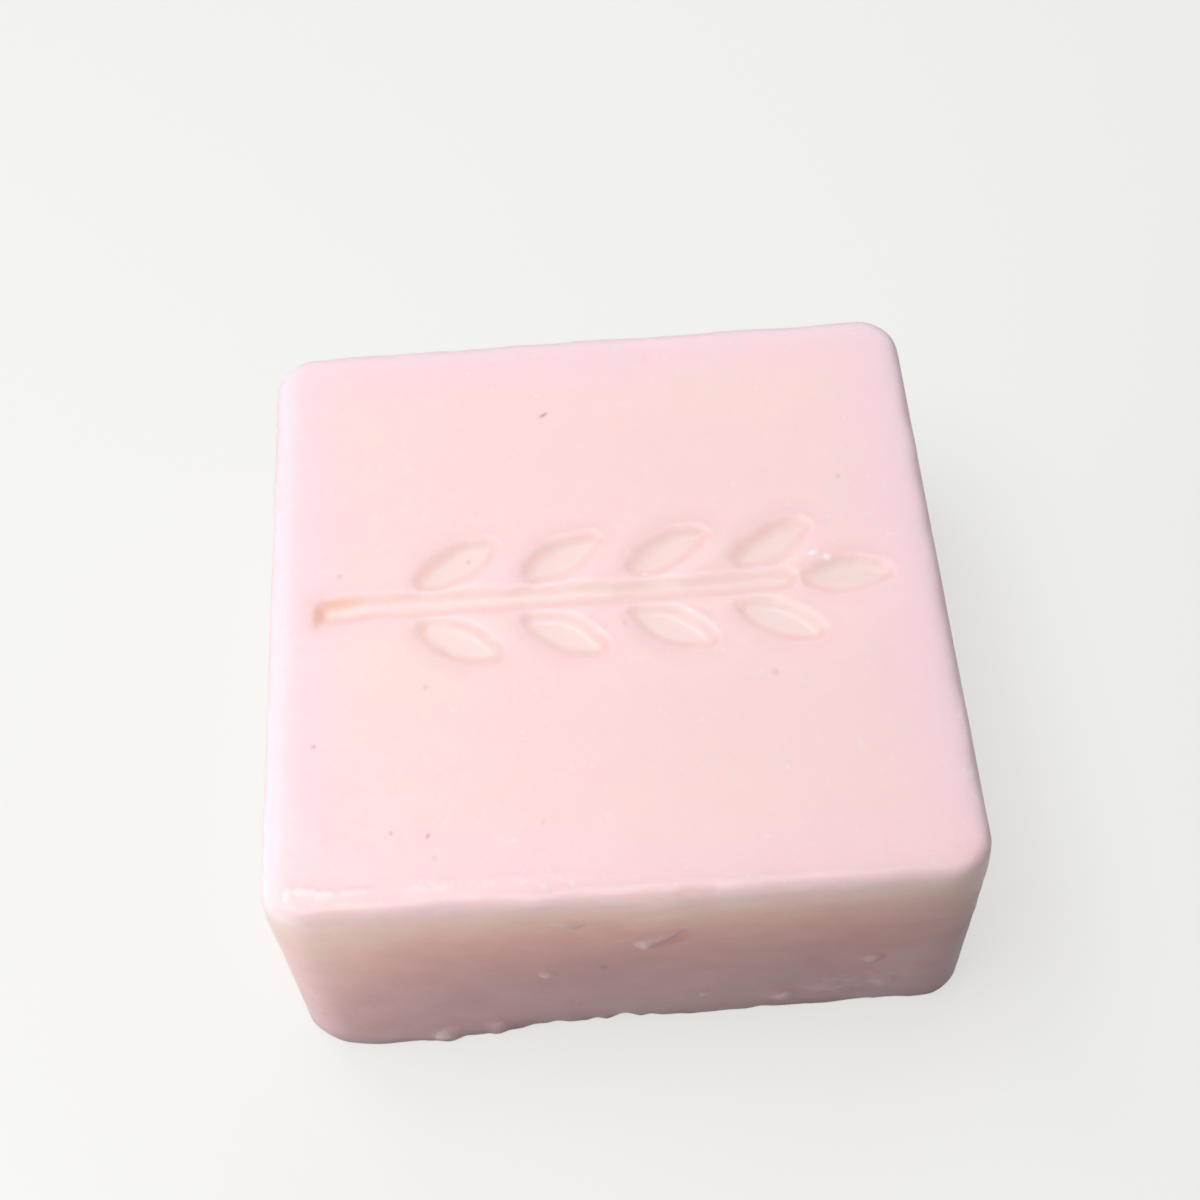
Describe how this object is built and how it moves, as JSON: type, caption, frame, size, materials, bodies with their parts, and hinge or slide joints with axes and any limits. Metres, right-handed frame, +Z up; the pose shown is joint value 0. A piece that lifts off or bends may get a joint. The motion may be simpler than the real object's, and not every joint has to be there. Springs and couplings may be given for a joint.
{
  "type": "conditioner bar",
  "caption": "Square cast bar of solid hair conditioner with a soft upper edge, rounded corners, a pressed leaf sprig and a rough poured rim.",
  "frame": {"origin": "middle of the flat resting face", "axes": "+Z up through the pressed face, +X along the pressed sprig from its bare stem to its end leaf, +Y to the back"},
  "size_m": [0.0604, 0.0603, 0.0265],
  "materials": {
    "cast_conditioner": "pale pink waxy cast solid, satin"
  },
  "bodies": {
    "root": {"conditioner_bar": "cast_conditioner"}
  },
  "joints": []
}
